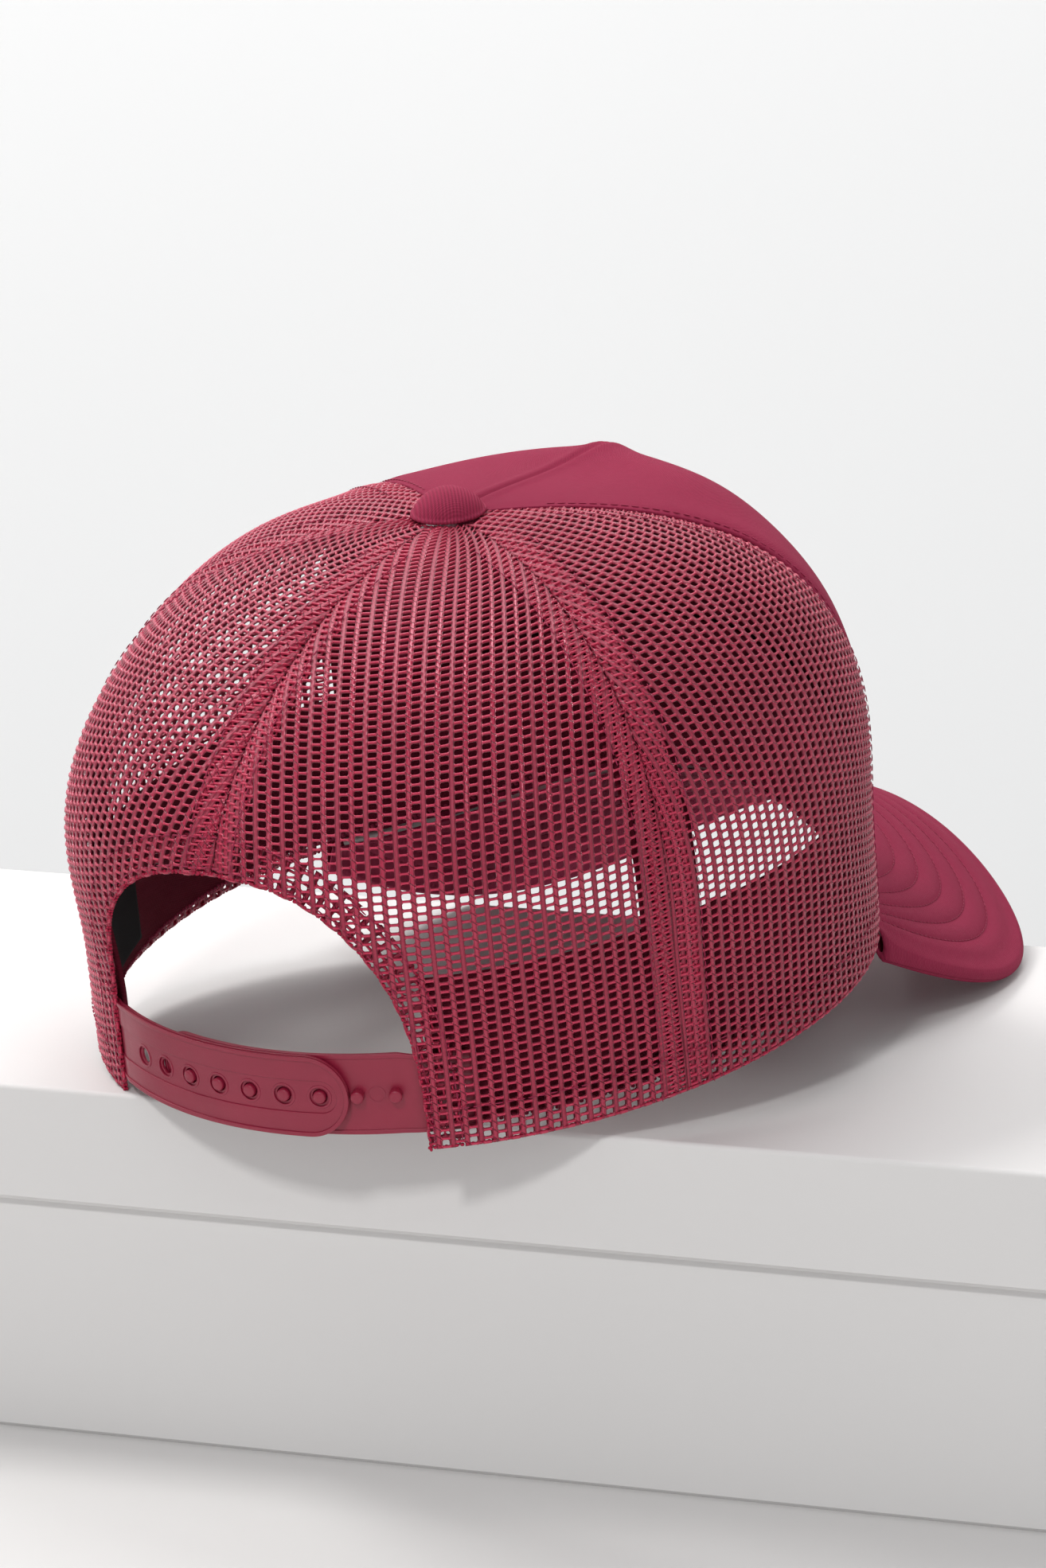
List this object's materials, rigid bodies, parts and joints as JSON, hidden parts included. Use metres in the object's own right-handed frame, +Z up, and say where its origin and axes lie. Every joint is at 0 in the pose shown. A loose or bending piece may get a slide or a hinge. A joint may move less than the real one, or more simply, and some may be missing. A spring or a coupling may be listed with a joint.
{
  "type": "baseball cap",
  "caption": "Mesh back baseball cap with a cloth front panel, curved visor, cloth button, rear opening and a plastic snap closure whose two straps swing.",
  "frame": {"origin": "centre of the footprint, on the surface the cap rests on", "axes": "+Z up, visor towards -Y, snap closure towards +Y, wearer's left is +X; the cap leans back at its natural rest angle"},
  "size_m": [0.174, 0.2847, 0.1327],
  "materials": {
    "mesh": "knitted polyester mesh, all one raspberry red, slightly shiny yarn",
    "front_cloth": "brushed cotton twill, matt",
    "backing": "stiff woven interlining",
    "tape": "woven seam tape",
    "sweatband": "cotton sweatband",
    "label": "plain black woven label, left blank",
    "visor_board": "stiff polyethylene board",
    "visor_cloth": "brushed cotton twill with concentric stitching",
    "button_cloth": "ribbed cotton twill over a metal shell",
    "metal": "plain",
    "snap_plastic": "satin moulded plastic"
  },
  "bodies": {
    "cap": {"front_panel": "front_cloth", "front_backing": "backing", "side_mesh_right": "mesh", "side_mesh_left": "mesh", "back_mesh_right": "mesh", "back_mesh_left": "mesh", "seam_tape_rear": "tape", "seam_tape_side_right": "tape", "seam_tape_side_left": "tape", "seam_tape_front_right": "tape", "seam_tape_front_left": "tape", "opening_binding": "mesh", "hem_right": "mesh", "hem_left": "mesh", "sweatband": "sweatband", "size_label": "label", "visor_board": "visor_board", "visor_top_cover": "visor_cloth", "visor_under_cover": "visor_cloth", "button_cap": "button_cloth", "button_rivet": "metal", "button_washer": "metal", "hole_strap_tab": "snap_plastic", "peg_strap_tab": "snap_plastic"},
    "hole_strap": {"hole_strap": "snap_plastic"},
    "peg_strap": {"peg_strap": "snap_plastic"}
  },
  "joints": [
    {"name": "hole_strap_swing", "type": "hinge", "parent": "cap", "child": "hole_strap", "pos_m": [0.03589, 0.12067, 0.01268], "axis": [0, -0.1919, -0.9814], "range_deg": [0, 75], "stiffness_Nm_per_rad": 0.01},
    {"name": "peg_strap_swing", "type": "hinge", "parent": "cap", "child": "peg_strap", "pos_m": [-0.03589, 0.12067, 0.01268], "axis": [0, -0.1919, -0.9814], "range_deg": [0, 35], "stiffness_Nm_per_rad": 0.01}
  ]
}
